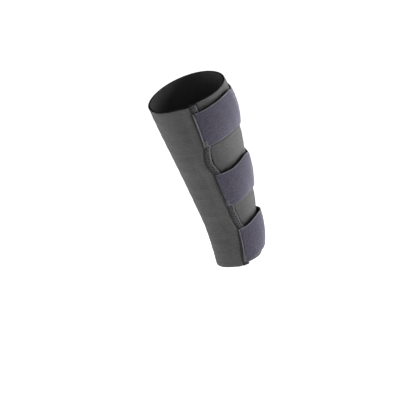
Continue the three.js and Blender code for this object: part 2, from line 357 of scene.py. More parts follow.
def closed_sheet(name, outer, inner, uvs, materials, face_kinds):
    """A closed piece between two grids of points. face_kinds gives the material of each outer
    quad, of the inner quads and of the low, high, start and end sides."""
    rows, columns = outer.shape[:2]
    index = np.arange(rows * columns).reshape(rows, columns)
    under = index + rows * columns

    def quads(a, b, c, d):
        return np.stack([a, b, c, d], -1).reshape(-1, 4)

    faces = [
        quads(index[:-1, :-1], index[:-1, 1:], index[1:, 1:], index[1:, :-1]),
        quads(under[:-1, :-1], under[1:, :-1], under[1:, 1:], under[:-1, 1:]),
        quads(under[0, :-1], under[0, 1:], index[0, 1:], index[0, :-1]),
        quads(index[-1, :-1], index[-1, 1:], under[-1, 1:], under[-1, :-1]),
        quads(under[:-1, 0], index[:-1, 0], index[1:, 0], under[1:, 0]),
        quads(index[:-1, -1], under[:-1, -1], under[1:, -1], index[1:, -1]),
    ]
    outer_kind, inner_kind, side_kinds = face_kinds
    kinds = [
        np.broadcast_to(outer_kind, (rows - 1, columns - 1)).ravel(),
        np.full(len(faces[1]), inner_kind),
    ]
    kinds += [np.full(len(side), kind) for side, kind in zip(faces[2:], side_kinds)]
    vertices = np.concatenate([outer.reshape(-1, 3), inner.reshape(-1, 3)])
    piece = add_object(name, vertices, np.concatenate(faces).tolist(), materials)
    mesh = piece.data
    mesh.polygons.foreach_set("material_index", np.concatenate(kinds).astype(np.int32))
    add_weave_coordinates(mesh, np.concatenate([uvs.reshape(-1, 2)] * 2))
    mesh.update()
    return piece


def add_weave_coordinates(mesh, uvs):
    """Gives each point its place on the flat sheet, in metres, which the weaves follow."""
    loops = np.zeros(len(mesh.loops), np.int32)
    mesh.loops.foreach_get("vertex_index", loops)
    layer = mesh.uv_layers.new(name="weave")
    layer.data.foreach_set("uv", uvs.astype(np.float32)[loops].ravel())


def thread_mesh(starts, ends, normals, radius, lift, sides, rings):
    """Vertices and faces of many short threads, each bowed up from where it dives in."""
    starts, ends, normals = (np.asarray(a, float) for a in (starts, ends, normals))
    ahead = ends - starts
    across = np.cross(normals, ahead)
    across /= np.linalg.norm(across, axis=1)[:, None]
    share = np.linspace(0, 1, rings)
    arch = np.sin(np.pi * share)
    rise = lift * arch ** 0.6 - radius * 1.2 * (1 - arch)
    thick = radius * (0.55 + 0.45 * arch ** 0.5)
    turn = np.linspace(0, 2 * np.pi, sides, endpoint=False)
    centres = starts[:, None] + ahead[:, None] * share[:, None] + normals[:, None] * rise[:, None]
    ring = (
        across[:, None, None] * np.cos(turn)[:, None]
        + normals[:, None, None] * np.sin(turn)[:, None]
    )
    vertices = centres[:, :, None] + ring * thick[:, None, None]
    count = len(starts)
    index = np.arange(count * rings * sides).reshape(count, rings, sides)
    beside = np.roll(index, -1, axis=2)
    walls = np.stack([index[:, :-1], beside[:, :-1], beside[:, 1:], index[:, 1:]], -1)
    faces = walls.reshape(-1, 4).tolist()
    faces += index[:, 0, ::-1].tolist() + index[:, -1].tolist()
    return vertices.reshape(-1, 3), faces


def threads(name, starts, ends, normals, material, radius, lift, sides=6, rings=6):
    vertices, faces = thread_mesh(starts, ends, normals, radius, lift, sides, rings)
    return add_object(name, vertices, faces, [material])


# Materials

ONE_WAVE = math.pi / 10  # wave texture scale that gives one band for each unit of its vector
MIX_SHARE, MIX_FIRST, MIX_SECOND, MIXED = 0, 6, 7, 2  # colour sockets of the Mix node


class Nodes:
    """Short ways to add nodes to a material or world."""

    def __init__(self, owner):
        owner.use_nodes = True
        self.nodes, self.links = owner.node_tree.nodes, owner.node_tree.links

    def node(self, kind, inputs=(), **settings):
        made = self.nodes.new(kind)
        for key, value in settings.items():
            setattr(made, key, value)
        for key, value in dict(inputs).items():
            self.feed(made.inputs[key], value)
        return made

    def feed(self, socket, value):
        if isinstance(value, bpy.types.NodeSocket):
            self.links.new(value, socket)
        else:
            socket.default_value = value

    def ramp(self, value, low, high, to_low=0.0, to_high=1.0):
        made = self.node("ShaderNodeMapRange", {
            "Value": value, "From Min": low, "From Max": high,
            "To Min": to_low, "To Max": to_high,
        })
        return made.outputs[0]


class Shader(Nodes):
    """A Principled material."""

    def __init__(self, name, roughness, sheen=0.0, sheen_tint=(1, 1, 1), sheen_roughness=0.5):
        self.material = bpy.data.materials.new(name)
        super().__init__(self.material)
        self.shader = self.nodes["Principled BSDF"]
        self.shader.inputs["Roughness"].default_value = roughness
        self.shader.inputs["Specular IOR Level"].default_value = 0.25
        self.shader.inputs["Sheen Weight"].default_value = sheen
        self.shader.inputs["Sheen Tint"].default_value = (*sheen_tint, 1)
        self.shader.inputs["Sheen Roughness"].default_value = sheen_roughness

    def weave(self, scale_u, scale_v, turn=0.0):
        """Place on the flat sheet, along it and across it, in steps of 1 / scale metres."""
        uv = self.node("ShaderNodeUVMap", uv_map="weave")
        mapping = self.node("ShaderNodeMapping", {
            "Vector": uv.outputs[0],
            "Rotation": (0, 0, math.radians(turn)),
            "Scale": (scale_u, scale_v, 1),
        })
        return mapping.outputs[0]

    def place(self):
        return self.node("ShaderNodeTexCoord").outputs["Object"]

    def noise(self, vector, scale=1.0, detail=3.0, roughness=0.6):
        made = self.node("ShaderNodeTexNoise", {
            "Vector": vector, "Scale": scale, "Detail": detail, "Roughness": roughness,
        })
        return made.outputs["Fac"]

    def wave(self, vector, scale, distortion=0.0, direction="X", detail_scale=1.0):
        made = self.node("ShaderNodeTexWave", {
            "Vector": vector, "Scale": scale, "Distortion": distortion,
            "Detail": 2.0, "Detail Scale": detail_scale,
        }, bands_direction=direction)
        return made.outputs["Fac"]

    def math(self, operation, a, b):
        made = self.node("ShaderNodeMath", operation=operation)
        self.feed(made.inputs[0], a)
        self.feed(made.inputs[1], b)
        return made.outputs[0]

    def sum(self, first, *others):
        for other in others:
            first = self.math("ADD", first, other)
        return first

    def mix(self, share, a, b):
        made = self.node("ShaderNodeMix", data_type="RGBA")
        self.feed(made.inputs[MIX_SHARE], share)
        self.feed(made.inputs[MIX_FIRST], (*a, 1) if isinstance(a, tuple) else a)
        self.feed(made.inputs[MIX_SECOND], (*b, 1) if isinstance(b, tuple) else b)
        return made.outputs[MIXED]

    def colour(self, value):
        self.feed(self.shader.inputs["Base Color"], value)

    def relief(self, height, distance):
        """Bump of a height from 0 to 1, so many millimetres deep."""
        made = self.node("ShaderNodeBump", {
            "Height": height, "Distance": distance * MM, "Strength": 1.0,
        })
        self.links.new(made.outputs[0], self.shader.inputs["Normal"])


def knit_cloth(name, dark, light, bands):
    """Jersey knit: columns of small loops, with faint stretch bands across them. A value stored on
    the mesh paints shade into the colour: the cloth darkens towards near black where straps keep
    the light off it."""
    s = Shader(name, 0.88, sheen=0.35, sheen_tint=(0.92, 0.94, 1.0), sheen_roughness=0.45)
    stitches = 1000 / 1.1
    uv = s.weave(stitches, stitches)
    wales = s.wave(uv, ONE_WAVE, 0.4)
    courses = s.wave(uv, ONE_WAVE * 1.4, 0.5, direction="Y")
    slant = s.wave(s.weave(stitches, stitches, turn=38), ONE_WAVE, 0.3)
    loops = s.math("MULTIPLY", s.sum(wales, courses), s.sum(slant, 0.6))
    wide = s.noise(s.place(), 22.0, detail=4.0)
    fine = s.noise(s.place(), 900.0, detail=2.0)
    stretch = s.wave(s.weave(60, 1000 / 3.6), ONE_WAVE, 2.5, direction="Y", detail_scale=0.3)
    streaks = s.noise(s.weave(190, 640))
    shade = s.sum(
        s.ramp(wide, 0.3, 0.7, -0.25, 0.25),
        s.ramp(loops, 0, 3, 0.15, 0.75),
        s.ramp(stretch, 0, 1, -bands, bands),
        s.ramp(streaks, 0.3, 0.7, -bands * 2.6, bands * 2.6),
        s.ramp(fine, 0.3, 0.7, -0.2, 0.2),
    )
    # Painted shade: a value stored on the mesh mixes the cloth's colour towards near black.
    painted_shade = s.node("ShaderNodeAttribute", attribute_name="painted_shade").outputs["Fac"]
    s.colour(s.mix(painted_shade, s.mix(shade, dark, light), UNLIT))
    s.relief(s.sum(loops, s.math("MULTIPLY", stretch, bands * 2)), 0.12)
    return s.material


def loop_nap(name, dark, light):
    """Brushed loop face: short matted fibres in faint rows along the strap."""
    s = Shader(name, 0.95, sheen=1.0, sheen_tint=(0.84, 0.82, 1.0), sheen_roughness=0.4)
    tufts = s.noise(s.weave(1000, 1000), 1.4, detail=5.0, roughness=0.7)
    matted = s.noise(s.weave(120, 420))
    flecks = s.noise(s.weave(420, 640), detail=2.0)
    rows = s.wave(s.weave(200, 1000 / 1.7), ONE_WAVE, 1.0, direction="Y", detail_scale=0.6)
    shade = s.sum(
        s.ramp(tufts, 0.25, 0.75, 0.0, 0.8),
        s.ramp(matted, 0.3, 0.7, -0.15, 0.25),
        s.ramp(flecks, 0.3, 0.7, -0.48, 0.48),
        s.ramp(rows, 0, 1, -0.16, 0.16),
    )
    s.colour(s.mix(shade, dark, light))
    s.relief(s.sum(tufts, s.math("MULTIPLY", rows, 0.3)), 0.35)
    return s.material


def woven_tape(name, dark, light, sheen=0.2):
    """Ribbed narrow-woven tape."""
    s = Shader(name, 0.8, sheen=sheen)
    threads_per_metre = 1000 / 0.7
    uv = s.weave(threads_per_metre, threads_per_metre)
    ribs = s.wave(uv, ONE_WAVE, 0.3)
    picks = s.wave(uv, ONE_WAVE * 1.6, 0.4, direction="Y")
    cloth = s.math("MULTIPLY", s.sum(ribs, 0.4), s.sum(picks, 0.4))
    wide = s.noise(s.place(), 60.0)
    shade = s.sum(s.ramp(cloth, 0, 2, 0.0, 0.8), s.ramp(wide, 0.3, 0.7, -0.15, 0.25))
    s.colour(s.mix(shade, dark, light))
    s.relief(cloth, 0.15)
    return s.material


def foam_core(name):
    """Cut edge of the foam rubber: black, with tiny open cells."""
    s = Shader(name, 0.9)
    cells = s.noise(s.place(), 2600.0, detail=2.0, roughness=0.5)
    s.colour(s.mix(s.ramp(cells, 0.35, 0.65), (0.008, 0.008, 0.009), (0.03, 0.029, 0.03)))
    s.relief(cells, 0.15)
    return s.material


def sewing_thread(name, colour, sheen=0.2):
    """Twisted yarn, half as light again along its ridges."""
    s = Shader(name, 0.6, sheen=sheen)
    twist = s.noise(s.place(), 1800.0, detail=1.0)
    ridge = tuple(min(1.0, part * 1.5) for part in colour)
    s.colour(s.mix(s.ramp(twist, 0.35, 0.65), colour, ridge))
    s.relief(twist, 0.08)
    return s.material


def moulded_plastic(name):
    s = Shader(name, 0.45)
    worn = s.noise(s.place(), 300.0)
    s.colour(s.mix(s.ramp(worn, 0.3, 0.7), (0.014, 0.014, 0.016), (0.034, 0.033, 0.038)))
    s.relief(worn, 0.02)
    return s.material


# Near black: the colour of painted shade on the cloth where straps and the flap keep the light
# off.
UNLIT = (0.004, 0.004, 0.004)
OUTER_KNIT = knit_cloth("outer_knit", (0.056, 0.054, 0.0535), (0.114, 0.111, 0.110), 0.11)
INNER_KNIT = knit_cloth("inner_knit", (0.046, 0.045, 0.045), (0.088, 0.087, 0.087), 0.03)
FOAM = foam_core("foam_core")
LOOP = loop_nap("loop_nap", (0.030, 0.027, 0.041), (0.078, 0.071, 0.101))
# A plain near-black material without sheen. It is painted shade for the cloth deepest under the
# straps and the flap.
SHADE_PAINTED_KNIT = sewing_thread("shade_painted_knit", UNLIT, sheen=0.0)
SELVEDGE = woven_tape("selvedge", (0.110, 0.106, 0.124), (0.235, 0.228, 0.262))
# A darker copy of the selvedge tape for the straps' lower selvedges: painted shade, where the
# upper ones show the pale tape.
SHADED_LOWER_SELVEDGE = woven_tape("shaded_lower_selvedge", (0.046, 0.043, 0.056), (0.100, 0.094, 0.120))
STRAP_EDGE = woven_tape("strap_edge", (0.022, 0.020, 0.028), (0.048, 0.045, 0.058))
# A lighter copy of the binding tape along the fold's edge: a painted highlight.
FOLD_HIGHLIGHT = woven_tape("binding_fold_highlight", (0.044, 0.042, 0.047), (0.098, 0.094, 0.103))
BACKING = woven_tape("strap_backing", (0.026, 0.024, 0.031), (0.056, 0.052, 0.066))
BINDING = woven_tape("binding_weave", (0.014, 0.013, 0.015), (0.037, 0.035, 0.039), sheen=0.1)
DARK_THREAD = sewing_thread("dark_thread", (0.030, 0.029, 0.032))
PALE_THREAD = sewing_thread("pale_thread", (0.150, 0.145, 0.160))
TACK_THREAD = sewing_thread("tack_thread", (0.125, 0.125, 0.130))
LOOP_FIBRE = sewing_thread("loop_fibre", (0.060, 0.055, 0.078), sheen=0.5)
PLASTIC = moulded_plastic("hook_plastic")


# A strap's place: its height and how far it stands off the skin

def tab_end(strap):
    return strap.end - degrees_for(TAB_INSET, strap.centre)


def tab_start(strap):
    return tab_end(strap) - degrees_for(TAB_LENGTH, strap.centre)


def strap_lift(strap, azimuth, z, across):
    """Height of a strap's inner face over the skin. across: 0 at its lower edge, 1 at its
    upper."""
    edge = flap_edge(z)
    sewn = 1 - smoothstep(azimuth, edge, edge + degrees_for(STRAP_SETTLE, z))
    fastened_from = tab_start(strap) - degrees_for(TAB_INSET, strap.centre)
    settling_from = fastened_from - degrees_for(STRAP_SETTLE / 2, strap.centre)
    fastened = smoothstep(azimuth, settling_from, fastened_from)
    hugging = CREST_AZIMUTH + degrees_for(strap.hug, strap.centre)
    loose = 1 - smoothstep(azimuth, CREST_AZIMUTH, hugging)
    flare = lerp(strap.flare_low, strap.flare_high, across) * loose
    bulge = STRAP_CROWN * 4 * across * (1 - across)
    crown = bulge * (1 - smoothstep(azimuth, CREST_AZIMUTH, fastened_from))
    resting = ON_CALF + flare + crown + (TAB_THICKNESS + GAP) * fastened
    return lerp(resting, ON_BINDING + crown / 3, sewn)


def strap_height(strap, azimuth, across):
    """Height z of a strap's point: the strap leaves its sewn end level, climbs to its crest
    beside the calf and comes down again behind it."""
    climb_from = CREST_AZIMUTH - degrees_for(strap.rise, strap.centre)
    level = CREST_AZIMUTH + degrees_for(strap.fall, strap.centre)
    up = smoothstep(azimuth, climb_from, CREST_AZIMUTH)
    down = smoothstep(azimuth, CREST_AZIMUTH, level)
    climb = lerp(strap.climb_low, strap.climb_high, across) * (up - down)
    return strap.centre + climb + (across - 0.5) * STRAP_WIDTH


# Neoprene wrap

SHEET_TURN = 350.0  # about the sheet's length round the leg, for its grid's steps
WRAP_STEP = 1.45  # between grid points
RIM_ROUNDING = 0.5
FLAP_ROUNDING = 1.25
RIPPLE_DEPTH = 0.45
BULGE = 0.9  # the cloth swells out by this much midway between two straps
BULGE_REACH = (110, 270, 300)  # azimuths: grown by the first, fading between the others
TAPE_SWELL = 1.6  # the flap bulges up by this much where the tape squeezes it
TAPE_SWELL_REACH = (0.1, 1.6, 2.5, 14.0)  # distances back from the binding
UPPER_EDGE_SINK = 1.5  # a strap's upper edge sinks this far into the cloth
UPPER_EDGE_PRESS = (-9, -3, -1.0, 1.4)  # heights over the edge
LOWER_EDGE_SINK = 0.8
LOWER_EDGE_PRESS = (-8, -3, -0.4, 1.8)  # depths below the edge
# Painted shade: these values set where the cloth's colour is darkened towards near black. That is
# under the flap and the straps, in the crevices above the straps and in the groove beside the
# binding.
FLAP_SHADE = (0.8, 2.0)  # the dark under the flap ends this far past its edge
COVER_FADE = (-1.3, -0.2)  # the dark under a strap ends along this stretch of its edge
CREVICE_REACH = (-12, -6)  # heights over a strap's upper edge
CREVICE_LIGHT = 0.6  # share of light that reaches the cloth there, at the crest
GROOVE_SHADE = 0.6  # how dark the groove beside the binding is
GROOVE_REACH = (0.0, 0.6, 1.4, 2.8)  # distances back from the binding
GROOVE_FADE = 12  # its dark begins this far below the top strap
# Cloth with at least this much painted shade gets the plain near-black material, which is painted
# shade without sheen.
SHADE_PAINTED_FROM = 0.7  # cloth as hidden as this gets the plain unlit material
OUTSIDE, INSIDE, CUT_EDGE, SHADE_PAINTED = range(4)


def between_straps(azimuth, z):
    """1 midway between two straps, 0 under them."""
    bulge = np.zeros(np.broadcast(azimuth, z).shape)
    for low, high in zip(STRAPS, STRAPS[1:]):
        middle = (low.centre + high.centre) / 2
        half = (high.centre - low.centre - STRAP_WIDTH) / 2
        bulge = bulge + bump(z, middle + low.climb_high * 0.5, half)
    return bulge


def pressed_by_straps(turned, z):
    """How deep the straps' edges sink into the soft neoprene."""
    depth = np.zeros(turned.shape)
    lip = flap_edge(z)
    for strap in STRAPS:
        over = z - strap_height(strap, turned, 1.0)
        under = strap_height(strap, turned, 0.0) - z
        upper = UPPER_EDGE_SINK * plateau(over, *UPPER_EDGE_PRESS) * strap.shade ** 2
        lower = LOWER_EDGE_SINK * plateau(under, *LOWER_EDGE_PRESS)
        reach = plateau(turned, lip + 1, lip + 8, strap.end - 25, strap.end - 5)
        depth = np.maximum(depth, (upper + lower) * reach)
    return depth


def hidden_from_light(turned, z):
    """Painted shade on the cloth's colour: 1 under the straps and the flap, 0 on open cloth. A
    lower edge that stands off the cloth keeps the light off a little below it too, and the crevice
    above opens towards the crest."""
    lip = flap_edge(z)
    painted_shade = 1 - smoothstep((turned - lip) / degrees_for(1.0, z), *FLAP_SHADE)
    for strap in STRAPS:
        above = z - strap_height(strap, turned, 1.0)
        below = strap_height(strap, turned, 0.0) - z - strap.shadow
        end = strap.end - degrees_for(END_ROUNDING, z)
        covered = 1 - smoothstep(np.maximum(above, below), *COVER_FADE)
        covered = covered * (1 - smoothstep(turned, end - degrees_for(5.0, z), end))
        open_above = smoothstep(above, *CREVICE_REACH) * smoothstep(turned, lip, CREST_AZIMUTH)
        painted_shade = np.maximum(painted_shade, covered * strap.shade * (1 - CREVICE_LIGHT * open_above))
    return np.maximum(painted_shade, groove_shadow(turned, z))


def groove_shadow(turned, z):
    """Painted shade in the groove beside the binding, from just below the top strap upwards."""
    top_low = TOP.centre - STRAP_WIDTH / 2
    shade = GROOVE_SHADE * smoothstep(z, top_low - GROOVE_FADE, top_low)
    return shade * plateau(beside_binding(turned, z), *GROOVE_REACH)


def swell_beside_binding(turned, z):
    """The flap bulges up where the tape squeezes it."""
    return TAPE_SWELL * plateau(beside_binding(turned, z), *TAPE_SWELL_REACH)


def ripples(azimuth, z):
    """Slow waves of a stretched cloth, from 0 to 1."""
    turn = np.radians(azimuth)
    wave = (
        np.sin(z * 0.42 + 1.7 * np.sin(turn * 2 + 0.6) + 0.5)
        + 0.7 * np.sin(z * 0.27 - 2.1 * np.cos(turn * 3 + 1.1))
        + 0.5 * np.sin(turn * 7 + z * 0.05 + 2.0)
    )
    return 0.5 + wave / 4.4


def wrap_grid():
    """Azimuth and height of each grid point, and how far it is from an end and from a rim."""
    across = edge_steps(SHEET_TURN, WRAP_STEP, FLAP_ROUNDING) / SHEET_TURN
    up = edge_steps(WRAP_LENGTH, WRAP_STEP, RIM_ROUNDING) / WRAP_LENGTH
    u, v = np.meshgrid(across, up)
    rough = lerp(inner_end(WRAP_LENGTH * v), FULL_TURN + flap_edge(WRAP_LENGTH * v), u)
    z = lerp(bottom_rim(rough), top_rim(rough), v)
    end = FULL_TURN + flap_edge(z) - degrees_for(BINDING_THICKNESS + GAP, z)
    turned = lerp(inner_end(z), end, u)
    from_end = np.minimum(u, 1 - u) * SHEET_TURN
    from_rim = np.minimum(v, 1 - v) * WRAP_LENGTH
    return turned, z, from_end, from_rim


def stretched_out(turned, z):
    """How far the open cloth rises over its even lie: it swells between the straps and sinks
    in slow ripples."""
    lip = flap_edge(z)
    open_cloth = smoothstep(turned, lip + 2, lip + 40) * (1 - bound_share(turned, z))
    swell = BULGE * between_straps(turned, z) * plateau(turned, lip + 6, *BULGE_REACH)
    return swell - RIPPLE_DEPTH * ripples(turned, z) * open_cloth


def coordinates_from_calf(outer, turned, z):
    """The sheet's own coordinates, counted along it from the calf."""
    lengths = arc_lengths(outer)
    calf = np.argmin(np.abs(turned - FULL_TURN / 2), axis=1)
    lengths -= lengths[np.arange(len(calf)), calf][:, None]
    return np.stack([lengths, z], -1) * MM


def wrap_piece():
    turned, z, from_end, from_rim = wrap_grid()
    low = sheet_lift(turned, z)
    high = low + sheet_wall(turned, z)
    stretch = stretched_out(turned, z)
    press = pressed_by_straps(turned, z) - swell_beside_binding(turned, z)
    drop = np.maximum(edge_drop(from_rim, RIM_ROUNDING), edge_drop(from_end, FLAP_ROUNDING))
    outer = leg_point(turned, z, high + stretch - press - drop)
    inner = leg_point(turned, z, low + stretch / 2 + drop)
    # Painted shade: the value stored on each point darkens the cloth, and the darkest quads get
    # the near-black material.
    painted_shade = hidden_from_light(turned, z)
    kinds = np.where(quad_middles(painted_shade) > SHADE_PAINTED_FROM, SHADE_PAINTED, OUTSIDE)
    piece = closed_sheet(
        "knit_wrap", outer, inner, coordinates_from_calf(outer, turned, z),
        [OUTER_KNIT, INNER_KNIT, FOAM, SHADE_PAINTED_KNIT], (kinds, INSIDE, (CUT_EDGE,) * 4),
    )
    shade = piece.data.attributes.new("painted_shade", "FLOAT", "POINT")
    values = np.concatenate([painted_shade.ravel(), np.zeros(painted_shade.size)])
    shade.data.foreach_set("value", values.astype(np.float32))
    return piece, sheet_cut((outer + inner) / 2)


# Edge binding: a tape folded over the flap's edge

TAPE_STEP = 1.3
TAPE_ROUNDING = 0.3
TAPE_LOW = UNDER_BINDING - GAP - BINDING_THICKNESS
PUCKER_DEPTH, PUCKER_PITCH = 0.10, 3.4
WEAVE, PAINTED_HIGHLIGHT = 0, 1
# Columns along the fold that get the lighter tape as a painted highlight.
FOLD_FROM, FOLD_TO = 7, 11  # grid columns along the fold that catch the light
ZIGZAG_PITCH = 4.2
ZIGZAG_SIDES = (2.4, 7.2)  # distances back from the flap's edge


def binding_profile(skin):
    """Distances back from the flap's edge and heights over the skin, along the folded tape.
    skin: depth below the tape's outer face."""
    radius = (BINDING_TOP - TAPE_LOW) / 2
    leg = np.linspace(BINDING_WIDTH, radius, 8)
    turn = np.linspace(0, np.pi, 13)[1:-1]
    back = np.concatenate([leg, radius - (radius - skin) * np.sin(turn), leg[::-1]])
    out = np.concatenate([
        np.full(len(leg), BINDING_TOP - skin),
        (BINDING_TOP + TAPE_LOW) / 2 + (radius - skin) * np.cos(turn),
        np.full(len(leg), TAPE_LOW + skin),
    ])
    return back, out


def binding_surface(skin, z):
    """One face of the tape, puckered by its seam and with a slightly uneven edge."""
    back, out = binding_profile(skin)
    backs, zs = np.meshgrid(back, z)
    outs = np.meshgrid(out, z)[0]
    pucker = PUCKER_DEPTH * np.sin(zs * 2 * np.pi / PUCKER_PITCH) * bump(backs, 5.0, 4.0)
    outs = outs + pucker * (outs > (BINDING_TOP + TAPE_LOW) / 2)
    uneven = 0.25 * np.sin(zs * 0.31 + 0.8) + 0.15 * np.sin(zs * 0.83)
    return leg_point(flap_edge(zs) - degrees_for(backs + uneven, zs), zs, outs)


def binding_piece():
    v = edge_steps(WRAP_LENGTH, TAPE_STEP, TAPE_ROUNDING) / WRAP_LENGTH
    rough = flap_edge(WRAP_LENGTH * v)
    z = lerp(bottom_rim(rough), top_rim(rough), v)
    outer, inner = binding_surface(0.0, z), binding_surface(BINDING_THICKNESS, z)
    lengths = arc_lengths(outer)
    uvs = np.stack([lengths, np.meshgrid(lengths[0], z)[1]], -1) * MM
    kinds = np.full((len(z) - 1, outer.shape[1] - 1), WEAVE)
    kinds[:, FOLD_FROM:FOLD_TO] = PAINTED_HIGHLIGHT
    face_kinds = (kinds, WEAVE, (WEAVE,) * 4)
    piece = closed_sheet("folded_binding", outer, inner, uvs, [BINDING, FOLD_HIGHLIGHT], face_kinds)
    return piece, sheet_cut((outer + inner) / 2)


def zigzag_piece():
    heights = np.arange(1.5, WRAP_LENGTH + 4.5, ZIGZAG_PITCH / 2)
    backs = np.where(np.arange(len(heights)) % 2 == 0, *ZIGZAG_SIDES)
    azimuths = flap_edge(heights) - degrees_for(backs, heights)
    points = leg_point(azimuths, heights, np.full(len(heights), BINDING_TOP))
    normals = surface_normals(flap_edge(heights[:-1]), heights[:-1])
    return threads(
        "binding_zigzag", points[:-1], points[1:], normals, PALE_THREAD, radius=0.17, lift=0.2,
    )


# Straps

STRAP_STEP = 1.5
STRAP_ROUNDING = 0.7
SELVEDGE_WIDTH = 1.4
SELVEDGE_STEP = 0.35  # the nap stands this much higher than the selvedge
SELVEDGE_SLOPE_FROM = 0.8  # share of the selvedge's width where the nap begins to rise
BAND_EDGE = 0.5  # a band changes to the next along this length


def strap_length(strap):
    """Length along the strap's middle line."""
    start = binding_start(strap.centre)
    azimuth = np.linspace(start, strap.end, 200)
    z = strap_height(strap, azimuth, 0.5)
    points = leg_point(azimuth, z, strap_lift(strap, azimuth, z, 0.5) + STRAP_THICKNESS / 2)
    return float(np.linalg.norm(np.diff(points, axis=0), axis=1).sum())


def strap_place(strap, u, across):
    """Azimuth and height of a strap's point. u runs from 0 at its sewn end to 1."""
    start = binding_start(strap_height(strap, strap.edge_low, across))
    edge_distance = np.minimum(across, 1 - across) * STRAP_WIDTH
    end = strap.end - degrees_for(edge_drop(edge_distance, END_ROUNDING), strap.centre)
    azimuth = lerp(start, end, u)
    return azimuth, strap_height(strap, azimuth, across)


def strap_surface(strap, u, across, extra):
    """Points that lie `extra` over the strap's inner face, and the directions outwards."""
    azimuth, z = strap_place(strap, u, across)
    points = leg_point(azimuth, z, strap_lift(strap, azimuth, z, across) + extra)
    return points, surface_normals(azimuth, z)


def along_seam(strap, distance_along, distance_across):
    """Distance from the sewn end, counted along a seam that slants where the strap's does."""
    return distance_along - strap.seam_slant * (1 - distance_across / STRAP_WIDTH)


def band_depth(strap, distance_along):
    """How deep the bands across the sewn end lie."""
    depth = np.full(distance_along.shape, strap.bands[0][1])
    for (_, before, _), (start, after, _) in zip(strap.bands, strap.bands[1:]):
        step = smoothstep(distance_along, start - BAND_EDGE / 2, start + BAND_EDGE / 2)
        depth = depth + (after - before) * step
    return depth


def strap_relief(strap, seam_distance, from_side):
    """How far the strap's outer face lies below its full thickness."""
    rises = smoothstep(from_side, SELVEDGE_WIDTH * SELVEDGE_SLOPE_FROM, SELVEDGE_WIDTH)
    return SELVEDGE_STEP * (1 - rises) + band_depth(strap, seam_distance)


def steps_along(strap, length):
    """Distances along a strap, close together where the bands of its sewn end begin."""
    steps = edge_steps(length, STRAP_STEP, STRAP_ROUNDING)
    starts = np.array([start for start, _, _ in strap.bands[1:]])
    if strap.seam_slant:
        detail = np.arange(0.3, starts[-1] + strap.seam_slant + BAND_EDGE, BAND_EDGE / 2)
    else:
        detail = np.add.outer(starts, BAND_EDGE * np.linspace(-0.5, 0.5, 5)).ravel()
    apart = np.abs(np.subtract.outer(steps, detail)).min(axis=1) > BAND_EDGE / 3
    return np.sort(np.concatenate([steps[apart], detail]))


def steps_across():
    """Distances across a strap, close together where its selvedges end."""
    steps = edge_steps(STRAP_WIDTH, STRAP_STEP, STRAP_ROUNDING)
    side = np.minimum(steps, STRAP_WIDTH - steps)
    apart = (side < STRAP_ROUNDING + 0.01) | (side > SELVEDGE_WIDTH + 0.3)
    slope = np.array([SELVEDGE_WIDTH * SELVEDGE_SLOPE_FROM, SELVEDGE_WIDTH])
    return np.sort(np.concatenate([steps[apart], slope, STRAP_WIDTH - slope]))


def strap_kinds(strap, length, d_along, d_across, seam):
    """What each quad of a strap's outer face shows, from the distances at its middle."""
    kinds = np.where(d_across > STRAP_WIDTH - SELVEDGE_WIDTH, PALE, NAP)
    # The lower selvedge gets the darker copy of the selvedge tape as painted shade.
    kinds = np.where(d_across < SELVEDGE_WIDTH, SHADED_SELVEDGE, kinds)
    kinds = np.where(d_along > length - STRAP_ROUNDING, PALE, kinds)
    # The dark bands show the binding's dark tape. They are partly the stitched seam of the sewn
    # end and partly painted shade at the end's step and in its grooves.
    kinds = np.where(seam < 0, strap.bands[0][2], kinds)
    for (start, _, kind), (stop, _, _) in zip(strap.bands, strap.bands[1:]):
        kinds = np.where((seam >= start) & (seam < stop), kind, kinds)
    return kinds


def strap_piece(strap):
    length = strap_length(strap)
    d_along, d_across = np.meshgrid(steps_along(strap, length), steps_across())
    u, across = d_along / length, d_across / STRAP_WIDTH
    from_side = np.minimum(d_across, STRAP_WIDTH - d_across)
    from_end = np.minimum(d_along, length - d_along)
    drop = edge_drop(np.minimum(from_side, from_end), STRAP_ROUNDING)
    seam = along_seam(strap, d_along, d_across)
    sunk = np.maximum(strap_relief(strap, seam, from_side), drop)
    wander = 0.12 * np.sin(d_along * 0.35 + d_across * 0.11) * smoothstep(d_along, 10, 25)
    outer, _ = strap_surface(strap, u, across, STRAP_THICKNESS - sunk + wander)
    inner, _ = strap_surface(strap, u, across, np.minimum(drop, 0.5))
    uvs = np.stack([d_along, d_across], -1) * MM
    middles = [quad_middles(grid) for grid in (d_along, d_across, seam)]
    kinds = strap_kinds(strap, length, *middles)
    materials = [LOOP, SELVEDGE, BINDING, BACKING, STRAP_EDGE, SHADED_LOWER_SELVEDGE]
    face_kinds = (kinds, BACK, (SIDE, SIDE, BACK, SIDE))
    piece = closed_sheet(f"{strap.name}_loop_strap", outer, inner, uvs, materials, face_kinds)
    return piece, length


# Sewing and nap on the straps

STITCH_PITCH = 2.6
STITCH_SHARE = 0.82  # share of the pitch that a stitch shows
STITCH_INSET = 0.5  # from the start of its band
STITCH_SUNK = 0.15
STITCH_MARGIN = 2  # from the sides of the strap and of the hook tab
TACK_INSET, TACK_LENGTH, TACK_PITCH = 0.8, 9.5, 1.2
TACK_FROM, TACK_WIDTH = 0.5, 6.0
LOOP_COUNT = 5500
LOOP_REACH = (0.5, 1.3)
LOOP_LEAN = 0.7  # spread of their directions, in radians
LOOP_ROOT = 0.05


